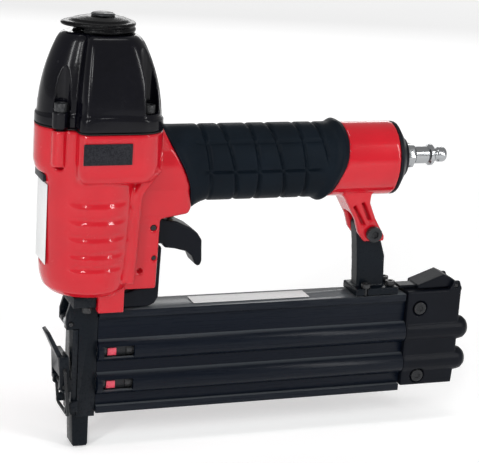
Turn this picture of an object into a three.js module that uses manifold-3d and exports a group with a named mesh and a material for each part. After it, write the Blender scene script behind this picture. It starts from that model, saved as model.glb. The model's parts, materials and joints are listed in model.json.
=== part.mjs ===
// A pneumatic brad nailer: cast housing, domed cylinder cap, rubber grip, slim side magazine
// and a quick-release nose, built as separate pieces that move as the real ones do.
// Millimetres. +X points to the back of the tool, +Z up the driver axis, -Y to the side with the badge.
// Dimensions are drawn with the driver axis at x = 0; the finished group is then moved so that its
// origin lies on the flat bottom face of the nose tip, on the land in front of the driver channel.
import * as THREE from "three";
import { mergeVertices } from "three/addons/utils/BufferGeometryUtils.js";
import Module from "manifold-3d";

// ---------------------------------------------------------------- driving dimensions

const GAP = 0.3; // clearance that neighbouring pieces keep
const DRIVER_AXIS_X = 3.5; // from the origin back to the driver axis
const ROUND = 32; // sides of a large round piece
const SMALL_ROUND = 12; // sides of a pin or screw
const FAR = 400; // size of a cutting block that reaches past the whole tool

const SEAM_Z = 179; // joint between the housing and the cylinder cap
const CAP_TOP_Z = 226.5;
const HEAD = { front: -29.8, noseHalf: 19, sideFrom: -13.5, side: 31, back: 33.4, corner: 15, bottomZ: 152 };
const BARREL = { radius: 26.3, bore: 21.5, bottomZ: 88, floorZ: 97 };
const FRONT_BOLT = { x: -20.6, y: 16.4 };
const BACK_BOLT = { x: 23.6, y: 22.5 };
const BOSS = { radius: 4.2, bayRadius: 4.9, mouthRadius: 5.6, topZ: 188 };

const HANDLE = { z: 156, width: 36, height: 41, endX: 171 };
const CORE = { width: 28, height: 32 }; // the casting under the rubber grip
const CHAMBER_RADIUS = 11; // air reservoir inside the handle
const PLUG_Z = 157;

const MAGAZINE = { frontX: 6.2, backX: 186, bottomZ: 20, topZ: 78, halfWidth: 9.7 };
const BAR = 4; // thickness of the rail's top and bottom bars
const TRACK = 0.9; // half width of the track that the brads stand in
const TUBES = [
  { name: "upper", z: 55.3, radius: 6.8 },
  { name: "lower", z: 36.5, radius: 6.8 },
];
const TUBE_Y = -5.4;
const TUBE_BORE = 4.7;
const TAIL = { frontX: 187, backX: 220.5, bottomZ: 22.8, topZ: 79.6, halfWidth: 10.4 };

const PISTON = { radius: 17.8, grooveRadius: 16, grooveZ: 178.5, bottomZ: 177, topZ: 182.7 };
const SLEEVE = { inner: 18.3, outer: 20.3, bottomZ: 103.8, topZ: 183 };
const BLADE = { halfX: 0.8, halfY: 1.6, bottomZ: 74.2, topZ: 170.7 };

const TRIGGER_PIVOT = { x: 32.5, z: 124.2 };
const VALVE = { x: 46, radius: 5, bottomZ: 129.5, topZ: 147 };
const DOOR_PIVOT = { x: -9, z: 71 };
const LATCH_PIVOT = { x: -11.5, z: 36 };
const BAIL_PIVOT = { x: -12, z: 46 };
const BAIL_BAR = { x: -9.5, z: 20.2 };
const TAIL_PIVOT = { x: 217, z: 82 };
const STRUT_BOLT = { x: 161.5, z: 115 };
const STRUT_HALF = 4.6; // half thickness of the strut blade
const GUARD_PIN = { x: 33.4, z: 107.6 };
const BLIND_PIN = { x: 25.8, z: 100.9 };
const LABEL = { x: -24.6, thickness: 0.4 };

// ---------------------------------------------------------------- joining and cutting

const wasm = await Module();
wasm.setup();

// A closed three.js geometry as a solid that can be joined and cut.
function solid(geometry) {
  const bare = geometry.clone();
  bare.deleteAttribute("normal");
  bare.deleteAttribute("uv");
  const merged = mergeVertices(bare, 1e-4);
  return new wasm.Manifold(
    new wasm.Mesh({
      numProp: 3,
      vertProperties: new Float32Array(merged.attributes.position.array),
      triVerts: new Uint32Array(merged.index.array),
    }),
  );
}

function join(...solids) {
  return solids.reduce((whole, piece) => whole.add(piece));
}

function cut(whole, ...tools) {
  return tools.reduce((rest, tool) => rest.subtract(tool), whole);
}

// ---------------------------------------------------------------- basic shapes

function block(x0, x1, y0, y1, z0, z1) {
  const box = new THREE.BoxGeometry(x1 - x0, y1 - y0, z1 - z0);
  return solid(box.translate((x0 + x1) / 2, (y0 + y1) / 2, (z0 + z1) / 2));
}

function outline(points) {
  return new THREE.Shape(points.map(([a, b]) => new THREE.Vector2(a, b)));
}

function extruded(shape, depth, rounding, segments = 8) {
  const inner = Math.max(depth - 2 * rounding, 0.01);
  return new THREE.ExtrudeGeometry(shape, {
    depth: inner,
    curveSegments: segments,
    bevelEnabled: rounding > 0,
    bevelThickness: rounding,
    bevelSize: rounding,
    bevelOffset: -rounding,
    bevelSegments: 3,
  }).translate(0, 0, rounding);
}

// A side view in X and Z, given thickness from y0 to y1.
function sideSlab(shape, y0, y1, rounding = 0) {
  return solid(extruded(shape, y1 - y0, rounding).rotateX(Math.PI / 2).translate(0, y1, 0));
}

// A section in Y and Z, drawn out from x0 to x1.
const ALONG_X = new THREE.Matrix4().makeBasis(
  new THREE.Vector3(0, 1, 0),
  new THREE.Vector3(0, 0, 1),
  new THREE.Vector3(1, 0, 0),
);
function bar(shape, x0, x1, rounding = 0) {
  return solid(extruded(shape, x1 - x0, rounding, 12).applyMatrix4(ALONG_X).translate(x0, 0, 0));
}

function ellipse(width, height, y, z) {
  return new THREE.Shape().absellipse(y, z, width / 2, height / 2, 0, 2 * Math.PI);
}

function rodZ(radius, x, y, z0, z1, sides = SMALL_ROUND) {
  const rod = new THREE.CylinderGeometry(radius, radius, z1 - z0, sides).rotateX(Math.PI / 2);
  return solid(rod.translate(x, y, (z0 + z1) / 2));
}

function rodX(radius, x0, x1, y, z, sides = SMALL_ROUND) {
  const rod = new THREE.CylinderGeometry(radius, radius, x1 - x0, sides).rotateZ(Math.PI / 2);
  return solid(rod.translate((x0 + x1) / 2, y, z));
}

function rodY(radius, x, z, y0, y1, sides = SMALL_ROUND) {
  const rod = new THREE.CylinderGeometry(radius, radius, y1 - y0, sides);
  return solid(rod.translate(x, (y0 + y1) / 2, z));
}

// A profile of [radius, height] points turned about the Z axis; it closes on itself or on the axis.
function turnedZ(profile, sides = ROUND) {
  const points = profile.map(([radius, height]) => new THREE.Vector2(radius, height));
  return solid(new THREE.LatheGeometry(points, sides).rotateX(Math.PI / 2));
}

function ringZ(inner, outer, z0, z1, sides = ROUND) {
  return turnedZ([[inner, z0], [outer, z0], [outer, z1], [inner, z1], [inner, z0]], sides);
}

// The same, turned about a line along X through (y, z).
function turnedX(profile, y, z, sides = ROUND, squeezeY = 1) {
  const points = profile.map(([radius, along]) => new THREE.Vector2(radius, along));
  const body = new THREE.LatheGeometry(points, sides).rotateZ(-Math.PI / 2);
  return solid(body.scale(1, squeezeY, 1).translate(0, y, z));
}

// A round wire bent along a curve; its section has twice as many sides as curveSegments says.
function wire(path, radius, steps, curveSegments) {
  const section = new THREE.Shape().absarc(0, 0, radius, 0, 2 * Math.PI);
  return solid(new THREE.ExtrudeGeometry(section, { extrudePath: path, steps, curveSegments }));
}

class Helix extends THREE.Curve {
  constructor(radius, length, turns) {
    super();
    Object.assign(this, { radius, length, turns });
  }
  getPoint(t, target = new THREE.Vector3()) {
    const angle = 2 * Math.PI * this.turns * t;
    return target.set(
      this.radius * Math.cos(angle),
      this.radius * Math.sin(angle),
      this.length * t,
    );
  }
}

// A coil spring standing on the XY plane about the Z axis.
function coil(radius, wireRadius, length, turns, stepsPerTurn = 8) {
  const path = new Helix(radius, length - 2 * wireRadius, turns);
  return wire(path, wireRadius, Math.round(turns * stepsPerTurn), 2).translate([0, 0, wireRadius]);
}

// A socket-head screw standing on z, head up, with a hexagon recess.
function capScrew(x, y, z, headRadius, headHeight, shankRadius, shankLength) {
  const head = rodZ(headRadius, x, y, z, z + headHeight);
  const recess = rodZ(headRadius * 0.5, x, y, z + headHeight / 2, z + headHeight + 1, 6);
  const shank = rodZ(shankRadius, x, y, z - shankLength, z + 0.1);
  return join(cut(head, recess), shank);
}

// ---------------------------------------------------------------- scene graph

const tool = new THREE.Group();

const finishes = {
  redPaint: { color: 0xd01c2e, roughness: 0.28, metalness: 0.1 },
  blackGloss: { color: 0x111416, roughness: 0.25, metalness: 0.2 },
  rubber: { color: 0x1b2227, roughness: 0.8, metalness: 0 },
  blackMetal: { color: 0x1d2329, roughness: 0.45, metalness: 0.4 },
  blackPlastic: { color: 0x181d21, roughness: 0.55, metalness: 0 },
  steel: { color: 0x9aa0a6, roughness: 0.35, metalness: 0.9 },
  darkSteel: { color: 0x25282b, roughness: 0.4, metalness: 0.7 },
  chrome: { color: 0xd8dbde, roughness: 0.12, metalness: 1 },
  aluminium: { color: 0xb4b8bc, roughness: 0.4, metalness: 0.9 },
  brass: { color: 0xb08d4a, roughness: 0.35, metalness: 0.9 },
  redPlastic: { color: 0xd83a58, roughness: 0.5, metalness: 0 },
  label: { color: 0xe4e6e4, roughness: 0.6, metalness: 0 },
};

function add(name, piece, finish) {
  const mesh = piece.getMesh();
  const geometry = new THREE.BufferGeometry();
  geometry.setAttribute("position", new THREE.BufferAttribute(mesh.vertProperties, 3));
  geometry.setIndex(new THREE.BufferAttribute(mesh.triVerts, 1));
  geometry.computeVertexNormals();
  const part = new THREE.Mesh(geometry, new THREE.MeshStandardMaterial(finishes[finish]));
  part.name = name;
  tool.add(part);
}

// ---------------------------------------------------------------- head outline and bolts

// Plan of the head: a round nose, and a wider block behind it with two flat sides and a round back.
const NOSE_MIDDLE_X = -10;
function headNose() {
  const { front, noseHalf } = HEAD;
  const reach = NOSE_MIDDLE_X - front;
  return new THREE.Shape().absellipse(NOSE_MIDDLE_X, 0, reach, noseHalf, 0, 2 * Math.PI);
}

function headBlock() {
  const { sideFrom, side, back, corner } = HEAD;
  const edge = 5.5;
  const shape = new THREE.Shape();
  shape.moveTo(sideFrom + edge, -side);
  shape.lineTo(back - corner, -side);
  shape.absarc(back - corner, -side + corner, corner, -Math.PI / 2, 0);
  shape.lineTo(back, side - corner);
  shape.absarc(back - corner, side - corner, corner, 0, Math.PI / 2);
  shape.lineTo(sideFrom + edge, side);
  shape.absarc(sideFrom + edge, side - edge, edge, Math.PI / 2, Math.PI);
  shape.lineTo(sideFrom, -side + edge);
  shape.absarc(sideFrom + edge, -side + edge, edge, Math.PI, 1.5 * Math.PI);
  return shape;
}

const headPlan = [
  { shape: headNose(), segments: 20 },
  { shape: headBlock(), segments: 4 },
];

const capBolts = [
  [FRONT_BOLT.x, -FRONT_BOLT.y],
  [BACK_BOLT.x, -BACK_BOLT.y],
  [BACK_BOLT.x, BACK_BOLT.y],
  [FRONT_BOLT.x, FRONT_BOLT.y],
];

function atBolts(make) {
  return join(...capBolts.map(([x, y]) => make(x, y)));
}

// ---------------------------------------------------------------- housing

// The curve where the red neck meets the front edge of the rubber grip, from top to bottom.
const neckEdge = [[35, 178.4], [40.5, 168.6], [46.2, 157.6], [51.2, 146.8], [53, 134.5]];
// The curve where the back edge of the grip meets the red handle end, from top to bottom.
const endEdge = [[139.5, 182], [140.5, 169], [139.2, 158], [135.8, 149.5], [131.5, 134]];

function shifted(points, dx) {
  return points.map(([x, z]) => [x + dx, z]);
}

function housing() {
  const { radius, bore, bottomZ, floorZ } = BARREL;
  const topZ = SEAM_Z - 0.4;
  const barrel = turnedZ([
    [0, bottomZ],
    [14, bottomZ],
    [19.5, bottomZ + 1.2],
    [23, bottomZ + 4.5],
    [24.6, bottomZ + 10],
    [25.2, bottomZ + 16],
    [radius, bottomZ + 50],
    [radius, topZ],
    [0, topZ],
  ]);
  const shoulders = headPlan.map(({ shape, segments }) =>
    solid(
      new THREE.ExtrudeGeometry(shape, {
        depth: 14,
        curveSegments: segments,
        bevelThickness: 9,
        bevelSize: 5,
        bevelOffset: -5,
        bevelSegments: 3,
      }).translate(0, 0, HEAD.bottomZ + 9),
    ),
  );
  const aboveSeam = block(-FAR, FAR, -FAR, FAR, topZ, FAR);
  const head = cut(join(...shoulders), aboveSeam);
  const columns = atBolts((x, y) => rodZ(BOSS.radius, x, y, HEAD.bottomZ + 8, topZ, 20));

  const flangeSide = outline([[8, 90.5], [35.4, 90.5], [36.2, 129.5], [36.2, 160], [8, 160]]);
  const flange = sideSlab(flangeSide, -14, 14, 1.5);
  const neck = sideSlab(
    outline([[20, 128.8], [37.5, 128.8], [51.5, 131.2], ...[...neckEdge].reverse(), [20, 177]]),
    -14.5,
    14.5,
    2.5,
  );
  const core = bar(ellipse(CORE.width, CORE.height, 0, HANDLE.z), 26, 150);
  const endShape = bar(ellipse(HANDLE.width, HANDLE.height, 0, HANDLE.z), 120, HANDLE.endX);
  const behindGrip = sideSlab(
    outline([...shifted(endEdge, GAP), [131, 100], [FAR, 100], [FAR, 190], [139.8, 190]]),
    -30,
    30,
  );
  const handleEnd = endShape.intersect(behindGrip);
  const bracketShape = outline([
    [142.5, 140],
    [142.5, 137],
    [151, 122.2],
    [153.2, 115],
    [157, 110.2],
    [169.2, 110.2],
    [169.2, 112.8],
    [162.8, 123.4],
    [158.9, 132.5],
    [159.5, 140],
  ]);
  const bracket = sideSlab(bracketShape, -9.5, 9.5, 1);
  const lug = join(block(3.2, 17.4, -16, -9.6, 79, 92), block(3.2, 17.4, 9.6, 16, 79, 92));

  const cylinderBore = rodZ(bore, 0, 0, floorZ, FAR, ROUND);
  const bladeHole = rodZ(6.5, 0, 0, bottomZ - 1, floorZ + 1);
  const chamber = rodX(CHAMBER_RADIUS, 22, FAR, 0, HANDLE.z, 24);
  const triggerSlot = block(28.2, 50, -9, 9, 80, 129.4);
  const valveBore = rodZ(VALVE.radius + GAP, VALVE.x, 0, 120, HANDLE.z, 20);
  const boltHoles = atBolts((x, y) => rodZ(2.6, x, y, 158, FAR, 10));
  const pinHoles = join(
    rodY(1.8, TRIGGER_PIVOT.x, TRIGGER_PIVOT.z, -20, 20),
    rodY(1.5, GUARD_PIN.x, GUARD_PIN.z, -20, 20),
    rodY(1.5, BLIND_PIN.x, BLIND_PIN.z, -20, -11),
    rodY(1.5, BLIND_PIN.x, BLIND_PIN.z, 11, 20),
  );
  const noseHoles = join(...noseScrews.map(([x, y]) => rodZ(2, x, y, 80, 98, 10)));
  const strutSlot = block(140, 175, -STRUT_HALF - GAP, STRUT_HALF + GAP, 100, 126);
  const strutHole = rodY(2.9, STRUT_BOLT.x, STRUT_BOLT.z, -12, 12);
  const pockets = bracketPockets.map(([x0, z0, x1, z1]) => {
    const side = outline([[x0 - 1.2, z0], [x1 - 1.2, z1], [x1 + 1.2, z1], [x0 + 1.2, z0]]);
    return cut(sideSlab(side, -12, 12), block(140, 175, -7.5, 7.5, 100, 140));
  });
  const labelFlat = block(-40, LABEL.x + LABEL.thickness, -11.2, 11.2, 104.5, 149.5);
  const nearSide = block(-19, 13, -FAR, -10, bottomZ, topZ);
  const grooves = BARREL_GROOVES.map((z) =>
    ringZ(radius - 1.1, radius + 3, z - 0.8, z + 0.8).intersect(nearSide),
  );

  return cut(
    join(barrel, head, columns, flange, neck, core, handleEnd, bracket, lug),
    cylinderBore,
    bladeHole,
    chamber,
    triggerSlot,
    valveBore,
    boltHoles,
    pinHoles,
    noseHoles,
    strutSlot,
    strutHole,
    ...pockets,
    labelFlat,
    ...grooves,
  );
}

const BARREL_GROOVES = [141.5, 131.8, 122.1, 112.4, 106.4];
const noseScrews = [[-1.5, -11.3], [-1.5, 11.3]];
// Two slanting recesses in each side of the bracket, as top x and z, then bottom x and z.
const bracketPockets = [[149.4, 131.4, 156, 119.6], [154.4, 133.4, 159.6, 122]];

add("housing", housing(), "redPaint");

// ---------------------------------------------------------------- grip

function gripSleeve() {
  const skirtEnd = [56, 131.2];
  const sleeveSide = outline([
    ...shifted(neckEdge, GAP),
    [53.6, 131.2],
    skirtEnd,
    [61, 135],
    [131.3, 134],
    ...[...endEdge].reverse(),
    [134, 182],
    [130, 176.4],
    [45, 177],
    [37, 178.2],
  ]);
  const body = bar(ellipse(HANDLE.width + 1, HANDLE.height + 0.4, 0, HANDLE.z), 30, 145);
  const skirt = bar(ellipse(34, 46, 0, 154.2), 36, 60);
  const bead = bar(ellipse(HANDLE.width + 3, 42.5, 0, 157), 132, 142);
  const outside = join(body, skirt, bead).intersect(sideSlab(sleeveSide, -25, 25));
  const inside = bar(ellipse(CORE.width + 2 * GAP, CORE.height + 2 * GAP, 0, HANDLE.z), 20, 150);
  return cut(outside, inside);
}

add("grip_sleeve", gripSleeve(), "rubber");

// ---------------------------------------------------------------- cylinder cap and exhaust

// The head valve slides in the wide lower part, and its spring stands in the narrow upper part.
const CAVITY = { radius: 20.6, shoulderZ: 197, springRadius: 15.5, topZ: 213 };
const DEFLECTOR_X = 4; // the deflector turns a little behind the driver axis
const DOME_SHRINK = 0.36; // how much smaller the dome's top is than its base

// Draws an upright wall in towards the middle of the head, slowly at first and faster near the top.
function domed(geometry, height, shrink) {
  const middleX = (HEAD.front + HEAD.back) / 2;
  const points = geometry.getAttribute("position");
  for (let i = 0; i < points.count; i += 1) {
    const scale = 1 - shrink * (points.getZ(i) / height) ** 2.2;
    points.setX(i, middleX + (points.getX(i) - middleX) * scale);
    points.setY(i, points.getY(i) * scale);
  }
  return geometry;
}

function cylinderCap() {
  const bottomZ = SEAM_Z + 0.7;
  const height = CAP_TOP_Z - bottomZ;
  const domes = headPlan.map(({ shape, segments }) => {
    const wall = new THREE.ExtrudeGeometry(shape, {
      depth: height,
      steps: 7,
      curveSegments: segments,
      bevelEnabled: false,
    });
    return solid(domed(wall, height, DOME_SHRINK).translate(0, 0, bottomZ));
  });
  const bosses = atBolts((x, y) => rodZ(BOSS.radius, x, y, bottomZ, BOSS.topZ, 20));
  const boltBays = join(
    atBolts((x, y) => rodZ(BOSS.bayRadius, x, y, BOSS.topZ, FAR, 20)),
    atBolts((x, y) => rodZ(BOSS.mouthRadius, x * 1.1, y * 1.25, BOSS.topZ, FAR, 20)),
  );
  const cavity = join(
    rodZ(CAVITY.radius, 0, 0, bottomZ - 1, CAVITY.shoulderZ, ROUND),
    rodZ(CAVITY.springRadius, 0, 0, bottomZ - 1, CAVITY.topZ, ROUND),
  );
  const screwHole = rodZ(3.1, DEFLECTOR_X, 0, CAVITY.topZ - 1, FAR);
  const exhaustPort = rodZ(3.6, -8, 0, CAVITY.topZ - 1, FAR);
  const boltHoles = atBolts((x, y) => rodZ(2.6, x, y, bottomZ - 1, FAR, 10));
  const shell = join(cut(join(...domes), boltBays), bosses);
  return cut(shell, cavity, screwHole, exhaustPort, boltHoles);
}

add("cylinder_cap", cylinderCap(), "blackGloss");

function capGasket() {
  const sheets = headPlan.map(({ shape, segments }) =>
    solid(
      new THREE.ExtrudeGeometry(shape, {
        depth: 0.5,
        curveSegments: segments,
        bevelEnabled: false,
      }).translate(0, 0, SEAM_Z - 0.1),
    ),
  );
  const holes = atBolts((x, y) => rodZ(2.9, x, y, 170, 180, 10));
  return cut(join(...sheets), rodZ(CAVITY.radius, 0, 0, 170, 180, ROUND), holes);
}

add("cap_gasket", capGasket(), "rubber");

capBolts.forEach(([x, y], i) => {
  add(`cap_bolt_${i + 1}`, capScrew(x, y, BOSS.topZ + GAP, 3.4, 4.4, 2.1, 28), "darkSteel");
});

function exhaustDeflector() {
  const base = CAP_TOP_Z + GAP;
  const topZ = base + 7.4;
  const collar = rodZ(17, 0, 0, base, base + 2.4, ROUND);
  const cover = (radius) =>
    turnedZ([
      [0, base + 2.2],
      [radius - 1, base + 2.8],
      [radius, base + 4.4],
      [12, topZ - 0.6],
      [8, topZ],
      [0, topZ],
    ]);
  const spout = cover(14.5).translate([-7.5, 0, -0.1]);
  const outlet = block(-40, -6, -11, 11, base - 1, base + 2.9);
  const screwHole = rodZ(3.3, 0, 0, base - 1, FAR);
  return cut(join(collar, cover(17), spout), outlet, screwHole).translate([DEFLECTOR_X, 0, 0]);
}

add("exhaust_deflector", exhaustDeflector(), "blackGloss");

function deflectorScrew() {
  const headZ = CAP_TOP_Z + 8;
  const topZ = headZ + 1.3;
  const head = turnedZ([[0, headZ], [6.3, headZ], [6.3, headZ + 0.8], [5.4, topZ], [0, topZ]], 24);
  const slot = block(-7, 7, -0.6, 0.6, headZ + 0.8, headZ + 3);
  const shank = rodZ(2.8, 0, 0, CAVITY.topZ + 2, headZ + 0.1);
  return join(cut(head, slot), shank).translate([DEFLECTOR_X, 0, 0]);
}

add("deflector_screw", deflectorScrew(), "darkSteel");

// ---------------------------------------------------------------- head valve, cylinder and driver

const HEAD_VALVE = { bottomZ: SLEEVE.topZ + GAP, thickness: 5 };
const springSeatZ = HEAD_VALVE.bottomZ + HEAD_VALVE.thickness;

add(
  "head_valve_piston",
  turnedZ([
    [0, HEAD_VALVE.bottomZ],
    [CAVITY.radius - GAP, HEAD_VALVE.bottomZ],
    [CAVITY.radius - GAP, springSeatZ + 4],
    [18, springSeatZ + 4],
    [18, springSeatZ],
    [8, springSeatZ],
    [7, springSeatZ + 4],
    [0, springSeatZ + 4],
  ]),
  "aluminium",
);

const springLength = CAVITY.topZ - springSeatZ - 2 * GAP;
add("head_valve_spring", coil(13, 1, springLength, 4, 12).translate([0, 0, springSeatZ + GAP]), "steel");

add(
  "cylinder_sleeve",
  join(
    ringZ(SLEEVE.inner, SLEEVE.outer, SLEEVE.bottomZ, SLEEVE.topZ),
    ringZ(SLEEVE.inner, BARREL.bore - GAP, SLEEVE.bottomZ, SLEEVE.bottomZ + 4),
  ),
  "aluminium",
);

add("sleeve_collar", ringZ(SLEEVE.outer + GAP, BARREL.bore - GAP, 150, 157), "blackPlastic");

add(
  "piston",
  turnedZ([
    [0, PISTON.bottomZ - 6],
    [5, PISTON.bottomZ - 6],
    [5, PISTON.bottomZ],
    [PISTON.radius, PISTON.bottomZ],
    [PISTON.radius, PISTON.grooveZ],
    [PISTON.grooveRadius, PISTON.grooveZ],
    [PISTON.grooveRadius, PISTON.grooveZ + 2.6],
    [PISTON.radius, PISTON.grooveZ + 2.6],
    [PISTON.radius, PISTON.topZ],
    [0, PISTON.topZ],
  ]),
  "aluminium",
);

add(
  "piston_ring",
  ringZ(PISTON.grooveRadius + GAP, 18, PISTON.grooveZ + GAP, PISTON.grooveZ + 2.6 - GAP),
  "rubber",
);

add(
  "driver_blade",
  block(-BLADE.halfX, BLADE.halfX, -BLADE.halfY, BLADE.halfY, BLADE.bottomZ, BLADE.topZ),
  "steel",
);

add(
  "bumper",
  turnedZ([[6, 97.3], [21.1, 97.3], [21.1, 101], [17.8, 103.4], [6, 103.4], [6, 97.3]]),
  "rubber",
);

// ---------------------------------------------------------------- trigger and its valve

function trigger() {
  const side = outline([
    [28.5, 113.4],
    [40.2, 113.2],
    [41.5, 110.9],
    [47, 110.2],
    [53.7, 108.3],
    [57, 105.4],
    [59, 101],
    [60.4, 99.9],
    [62, 100.4],
    [62.8, 102.6],
    [62.2, 114.4],
    [59.6, 118.4],
    [55, 121.8],
    [47.7, 125.3],
    [37, 127.4],
    [30, 127.4],
    [28.5, 126],
  ]);
  return cut(
    sideSlab(side, -7.2, 7.2, 1.1),
    rodY(2.1, TRIGGER_PIVOT.x, TRIGGER_PIVOT.z, -20, 20),
  );
}

add("trigger", trigger(), "blackPlastic");
add("trigger_pin", rodY(1.5, TRIGGER_PIVOT.x, TRIGGER_PIVOT.z, -13.6, 13.6), "darkSteel");
add("guard_pin", rodY(1.2, GUARD_PIN.x, GUARD_PIN.z, -13.4, 13.4), "darkSteel");

function rearGuard() {
  const side = outline([
    [18, 79],
    [33, 79],
    [36.5, 80.5],
    [38.6, 84],
    [39.2, 112],
    [29.9, 112],
    [29.9, 89.7],
    [26.5, 89.7],
    [22, 87.7],
    [18, 87.7],
  ]);
  return cut(sideSlab(side, -8.7, 8.7, 0.8), rodY(1.5, GUARD_PIN.x, GUARD_PIN.z, -20, 20));
}

add("rear_guard", rearGuard(), "blackPlastic");

add(
  "trigger_valve_body",
  turnedZ(
    [
      [3.8, VALVE.bottomZ],
      [VALVE.radius, VALVE.bottomZ],
      [VALVE.radius, VALVE.topZ],
      [1.4, VALVE.topZ],
      [1.4, VALVE.topZ - 1.5],
      [3.8, VALVE.topZ - 1.5],
      [3.8, VALVE.bottomZ],
    ],
    24,
  ).translate([VALVE.x, 0, 0]),
  "brass",
);

const STEM = { bottomZ: 125.9, shoulderZ: 130.4, topZ: 137.5 };
add(
  "trigger_valve_stem",
  turnedZ(
    [
      [0, STEM.bottomZ],
      [1.3, STEM.bottomZ],
      [1.9, STEM.bottomZ + 0.6],
      [1.9, STEM.shoulderZ],
      [3.4, STEM.shoulderZ],
      [3.4, STEM.topZ],
      [0, STEM.topZ],
    ],
    20,
  ).translate([VALVE.x, 0, 0]),
  "brass",
);
const stemSpringLength = VALVE.topZ - 1.5 - STEM.topZ - 2 * GAP;
add(
  "trigger_valve_spring",
  coil(2.7, 0.4, stemSpringLength, 4).translate([VALVE.x, 0, STEM.topZ + GAP]),
  "steel",
);

// ---------------------------------------------------------------- handle end and air inlet

const endRoundness = HANDLE.width / HANDLE.height;
const END_CAP = { frontX: HANDLE.endX + GAP, rimX: 173, faceX: 177, bossX: 180 };

function endCap() {
  const { frontX, rimX, faceX, bossX } = END_CAP;
  const plate = turnedX(
    [[0, frontX], [20.4, frontX], [20.4, rimX], [14.5, faceX], [12, faceX], [11, bossX], [0, bossX]],
    0,
    HANDLE.z,
    ROUND,
    endRoundness,
  );
  const spigot = rodX(CHAMBER_RADIUS - 0.4, frontX - 12, frontX + 1, 0, HANDLE.z, 24);
  return cut(join(plate, spigot), rodX(4.6, 100, 220, 0, PLUG_Z, 20));
}

add("end_cap", endCap(), "blackPlastic");

function airPlug() {
  const hexX = END_CAP.bossX + GAP;
  const nipple = turnedX(
    [
      [2.4, hexX - 12],
      [4.2, hexX - 12],
      [4.2, hexX + 1],
      [4.8, hexX + 5],
      [4.8, 195],
      [6, 195.6],
      [6, 197.8],
      [3.6, 199],
      [3.6, 200.4],
      [4.2, 201.4],
      [4.2, 205.2],
      [3.6, 206],
      [2.4, 206],
      [2.4, hexX - 12],
    ],
    0,
    PLUG_Z,
    24,
  );
  const hexagon = cut(
    rodX(7.2, hexX, hexX + 5.5, 0, PLUG_Z, 6),
    rodX(3.5, hexX - 1, hexX + 8, 0, PLUG_Z, 12),
  );
  return join(nipple, hexagon);
}

add("air_plug", airPlug(), "chrome");

// ---------------------------------------------------------------- strut to the magazine

const FOOT = { frontX: 154.5, backX: 181, bottomZ: MAGAZINE.topZ + GAP, topZ: 82.5, halfWidth: 9.4 };

function strut() {
  const side = outline([
    [157, 82],
    [156.2, 95],
    [155, 108],
    [153.4, 119],
    [155.5, 123],
    [159, 124.5],
    [163.5, 121],
    [168.6, 112],
    [172.6, 100],
    [173.4, 82],
  ]);
  const foot = block(FOOT.frontX, FOOT.backX, -FOOT.halfWidth, FOOT.halfWidth, FOOT.bottomZ, FOOT.topZ);
  const screwHoles = footScrews.map(([x, y]) => rodZ(1.9, x, y, 70, 90, 10));
  const boltHole = rodY(2.9, STRUT_BOLT.x, STRUT_BOLT.z, -12, 12);
  return cut(join(sideSlab(side, -STRUT_HALF, STRUT_HALF, 0.8), foot), boltHole, ...screwHoles);
}

const footScrews = [[161, -7.4], [177.4, 4.5], [177.4, -4.5]];
add("magazine_strut", strut(), "blackMetal");

function strutBolt() {
  const { x, z } = STRUT_BOLT;
  const shank = rodY(2.5, x, z, -9.9, 9.2);
  const head = cut(rodY(4.4, x, z, -13, -9.8), rodY(2.2, x, z, -14, -11.4, 6));
  return join(shank, head);
}

add("strut_bolt", strutBolt(), "darkSteel");

footScrews.forEach(([x, y], i) => {
  add(`foot_screw_${i + 1}`, capScrew(x, y, FOOT.topZ + GAP, 2.7, 2.4, 1.5, 7), "darkSteel");
});

// ---------------------------------------------------------------- magazine

// The fixed rail: a channel with its open side towards the badge side, so the cover slides in it.
function magazineRail() {
  const { frontX, backX, bottomZ, topZ, halfWidth } = MAGAZINE;
  const body = block(frontX, backX, -halfWidth, halfWidth, bottomZ, topZ);
  const mouth = block(0, FAR, -FAR, TRACK, bottomZ + BAR, topZ - BAR);
  const lowerRelief = block(24, backX - 6, halfWidth - 5, FAR, bottomZ + 8, 45);
  const upperRelief = block(24, backX - 6, halfWidth - 5, FAR, 53, topZ - 8);
  const screwHoles = footScrews.map(([x, y]) => rodZ(1.8, x, y, topZ - 3.6, topZ + 2, 10));
  return cut(body, mouth, lowerRelief, upperRelief, ...screwHoles);
}

add("magazine_rail", magazineRail(), "blackMetal");

const FRONT_WALL_X = 8.5; // back of the wall that holds the front ends of the guide rods
const ROD_HOLE_RADIUS = 1.9;

// The sliding cover: a plate with two tubes that hold the pusher springs.
function magazineCover() {
  const bottomZ = MAGAZINE.bottomZ + BAR + GAP;
  const topZ = MAGAZINE.topZ - BAR - GAP;
  const { frontX } = MAGAZINE;
  const backX = TAIL.frontX - GAP;
  const plate = block(frontX, backX, -7.6, -TRACK, bottomZ, topZ);
  const tubes = TUBES.map(({ z, radius }) => rodX(radius, frontX, backX, TUBE_Y, z, 28));
  const trackSide = block(0, FAR, -TRACK, FAR, 0, FAR);
  const bores = TUBES.map(({ z }) => rodX(TUBE_BORE, FRONT_WALL_X, FAR, TUBE_Y, z, 20));
  const rodHoles = TUBES.map(({ z }) => rodX(ROD_HOLE_RADIUS, 0, FAR, TUBE_Y, z, 10));
  const slots = TUBES.map(({ z }) => block(FRONT_WALL_X, FAR, TUBE_Y, FAR, z - 1.6, z + 1.6));
  const windows = TUBES.map(({ z }) => block(9, 26, -FAR, TUBE_Y, z - 3.6, z + 3));
  return cut(join(plate, ...tubes), trackSide, ...bores, ...rodHoles, ...slots, ...windows);
}

add("magazine_cover", magazineCover(), "blackMetal");

// The pusher: a thin plate behind the brads, carried by two sleeves that run on the guide rods.
const PUSHER = { frontX: 8, backX: 30, sleeveFrontX: 9, sleeveBackX: 27 };

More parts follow.
